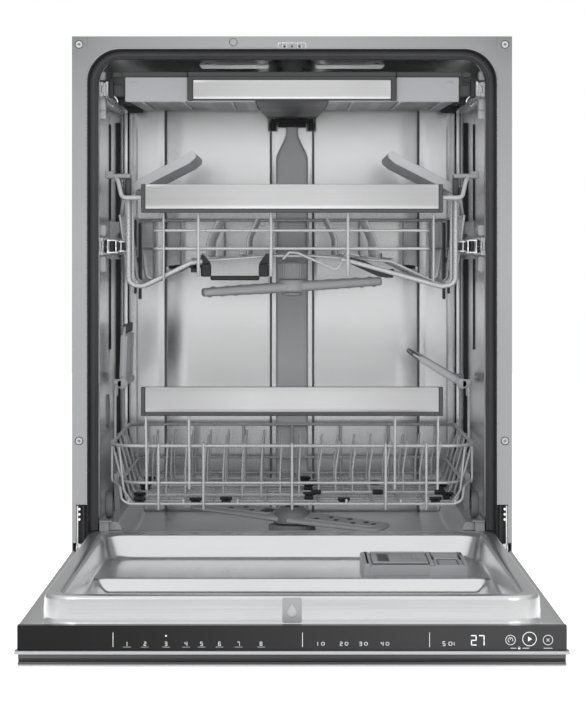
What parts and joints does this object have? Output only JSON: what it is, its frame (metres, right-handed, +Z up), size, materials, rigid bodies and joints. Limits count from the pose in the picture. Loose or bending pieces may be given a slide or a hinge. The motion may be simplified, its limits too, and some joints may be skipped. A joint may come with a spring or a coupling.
{
  "type": "dishwasher",
  "caption": "Built-in dishwasher with a drop-down door, stainless tub, two wire racks, cutlery tray, spray arms, pumps and a dark control strip on the door edge.",
  "frame": {"origin": "on the floor, under the middle of the whole machine with its door open flat", "axes": "+X to the user's right when facing the machine, +Y from the front towards the wall behind, +Z up"},
  "size_m": [0.602, 1.25, 0.85],
  "materials": {
    "stainless": "bright-rolled stainless sheet",
    "flange_steel": "light grey satin front frame",
    "galvanised": "zinc-coated sheet",
    "felt": "pressed felt and bitumen blanket",
    "rubber": "dark grey door seal",
    "dark_plastic": "dark grey moulding",
    "black_plastic": "black moulding",
    "grey_plastic": "mid grey moulding",
    "light_plastic": "light grey moulding",
    "white_plastic": "white nylon",
    "rail_steel": "rolled rail steel",
    "spring_steel": "oiled spring wire",
    "bright_chrome": "bright plated",
    "brushed_plate": "brushed along its length",
    "rack_wire": "grey nylon-coated wire",
    "control_black": "dark glossy control strip",
    "trim_aluminium": "satin trim",
    "board_green": "circuit board"
  },
  "bodies": {
    "cabinet": {"front_flange": "flange_steel", "tub_wrapper": "stainless", "tub_back_wall": "stainless", "tub_floor": "stainless", "door_gasket": "rubber", "side_panels": "galvanised", "insulation_blanket": "felt", "base_tray": "dark_plastic", "leveling_feet": "black_plastic", "sump": "grey_plastic", "filter_plate": "stainless", "wash_pump": "dark_plastic", "drain_pump": "dark_plastic", "inlet_valve": "white_plastic", "terminal_box": "black_plastic", "water_duct": "grey_plastic", "fixed_rails": "rail_steel", "hinge_brackets": "rail_steel", "door_springs": "spring_steel", "latch_keeper": "bright_chrome"},
    "filter": {"filter_basket": "grey_plastic"},
    "impeller": {"pump_impeller": "grey_plastic"},
    "door": {"door_inner_panel": "stainless", "door_outer_panel": "flange_steel", "control_fascia": "control_black", "fascia_trim": "trim_aluminium", "control_board": "board_green", "dispenser_body": "dark_plastic", "latch_insert": "grey_plastic", "hinge_arms": "bright_chrome"},
    "detergent_cover": {"detergent_lid": "grey_plastic"},
    "rinse_cover": {"rinse_aid_flap": "grey_plastic"},
    "catch": {"latch_catch": "dark_plastic"},
    "lower_rack": {"lower_rack_floor": "rack_wire", "lower_rack_walls": "rack_wire", "lower_handle_plate": "brushed_plate", "lower_handle_frame": "dark_plastic", "wheel_carriers": "dark_plastic"},
    "fold_front": {"fold_tines_front": "rack_wire"},
    "fold_rear": {"fold_tines_rear": "rack_wire"},
    "wheels_front": {"front_wheels": "dark_plastic"},
    "wheels_rear": {"rear_wheels": "dark_plastic"},
    "stem_left": {"stem_support_left": "grey_plastic"},
    "stem_right": {"stem_support_right": "grey_plastic"},
    "lower_arm": {"lower_spray_arm": "grey_plastic"},
    "upper_slide": {"upper_middle_rails": "rail_steel"},
    "upper_rack": {"upper_rack_floor": "rack_wire", "upper_rack_walls": "rack_wire", "upper_handle_plate": "brushed_plate", "upper_handle_frame": "dark_plastic", "upper_rack_rails": "rail_steel", "feed_pipe": "grey_plastic"},
    "cup_left": {"cup_shelf_left": "grey_plastic"},
    "cup_right": {"cup_shelf_right": "grey_plastic"},
    "middle_arm": {"middle_spray_arm": "grey_plastic"},
    "tray_slide": {"tray_middle_rails": "rail_steel"},
    "top_tray": {"tray_wings": "light_plastic", "tray_centre": "dark_plastic", "tray_handle_plate": "brushed_plate", "tray_frame": "dark_plastic"}
  },
  "joints": [
    {"name": "door_hinge", "type": "hinge", "parent": "cabinet", "child": "door", "pos_m": [0, 0.072, 0.153], "axis": [1, 0, 0], "range_deg": [-90, 0]},
    {"name": "lower_rack_slide", "type": "slide", "parent": "cabinet", "child": "lower_rack", "axis": [0, -1, 0], "range_m": [0, 0.48]},
    {"name": "front_wheel_roll", "type": "hinge", "parent": "lower_rack", "child": "wheels_front", "pos_m": [0, 0.182, 0.2025], "axis": [1, 0, 0], "continuous": true},
    {"name": "rear_wheel_roll", "type": "hinge", "parent": "lower_rack", "child": "wheels_rear", "pos_m": [0, 0.472, 0.2025], "axis": [1, 0, 0], "continuous": true},
    {"name": "upper_rack_slide", "type": "slide", "parent": "cabinet", "child": "upper_rack", "axis": [0, -1, 0], "range_m": [0, 0.45]},
    {"name": "upper_rail_slide", "type": "slide", "parent": "cabinet", "child": "upper_slide", "axis": [0, -1, 0], "range_m": [0, 0.225]},
    {"name": "top_tray_slide", "type": "slide", "parent": "cabinet", "child": "top_tray", "axis": [0, -1, 0], "range_m": [0, 0.42]},
    {"name": "tray_rail_slide", "type": "slide", "parent": "cabinet", "child": "tray_slide", "axis": [0, -1, 0], "range_m": [0, 0.21]},
    {"name": "lower_arm_spin", "type": "hinge", "parent": "cabinet", "child": "lower_arm", "pos_m": [0, 0.337, 0.17], "axis": [0, 0, 1], "continuous": true},
    {"name": "middle_arm_spin", "type": "hinge", "parent": "upper_rack", "child": "middle_arm", "pos_m": [0, 0.337, 0.506], "axis": [0, 0, 1], "continuous": true},
    {"name": "cup_shelf_left_fold", "type": "hinge", "parent": "upper_rack", "child": "cup_left", "pos_m": [-0.226, 0.277, 0.643], "axis": [0, -1, 0], "range_deg": [0, 60]},
    {"name": "cup_shelf_right_fold", "type": "hinge", "parent": "upper_rack", "child": "cup_right", "pos_m": [0.226, 0.277, 0.643], "axis": [0, 1, 0], "range_deg": [0, 60]},
    {"name": "stem_support_left_fold", "type": "hinge", "parent": "lower_rack", "child": "stem_left", "pos_m": [-0.2428, 0.322, 0.368], "axis": [0, 1, 0], "range_deg": [0, 57]},
    {"name": "stem_support_right_fold", "type": "hinge", "parent": "lower_rack", "child": "stem_right", "pos_m": [0.2428, 0.322, 0.368], "axis": [0, 1, 0], "range_deg": [0, 57]},
    {"name": "front_prongs_fold", "type": "hinge", "parent": "lower_rack", "child": "fold_front", "pos_m": [0.122, 0.222, 0.215], "axis": [1, 0, 0], "range_deg": [0, 85]},
    {"name": "rear_prongs_fold", "type": "hinge", "parent": "lower_rack", "child": "fold_rear", "pos_m": [0.122, 0.362, 0.215], "axis": [1, 0, 0], "range_deg": [0, 85]},
    {"name": "detergent_lid_slide", "type": "slide", "parent": "door", "child": "detergent_cover", "axis": [0, -1, 0], "range_m": [0, 0.07]},
    {"name": "rinse_flap_hinge", "type": "hinge", "parent": "door", "child": "rinse_cover", "pos_m": [0.197, -0.098, 0.1632], "axis": [-1, 0, 0], "range_deg": [0, 75]},
    {"name": "latch_catch_slide", "type": "slide", "parent": "door", "child": "catch", "axis": [0, 1, 0], "range_m": [0, 0.004], "stiffness_N_per_m": 900},
    {"name": "filter_twist", "type": "hinge", "parent": "cabinet", "child": "filter", "pos_m": [0.1, 0.237, 0.11], "axis": [0, 0, 1], "range_deg": [0, 80]},
    {"name": "pump_spin", "type": "hinge", "parent": "cabinet", "child": "impeller", "pos_m": [-0.03, 0.422, 0.08], "axis": [1, 0, 0], "continuous": true}
  ],
  "couplings": [
    {"joint": "front_wheel_roll", "follows": "lower_rack_slide", "rad_per_m": 52.632},
    {"joint": "rear_wheel_roll", "follows": "lower_rack_slide", "rad_per_m": 52.632},
    {"joint": "upper_rail_slide", "follows": "upper_rack_slide", "ratio": 0.5},
    {"joint": "tray_rail_slide", "follows": "top_tray_slide", "ratio": 0.5}
  ]
}
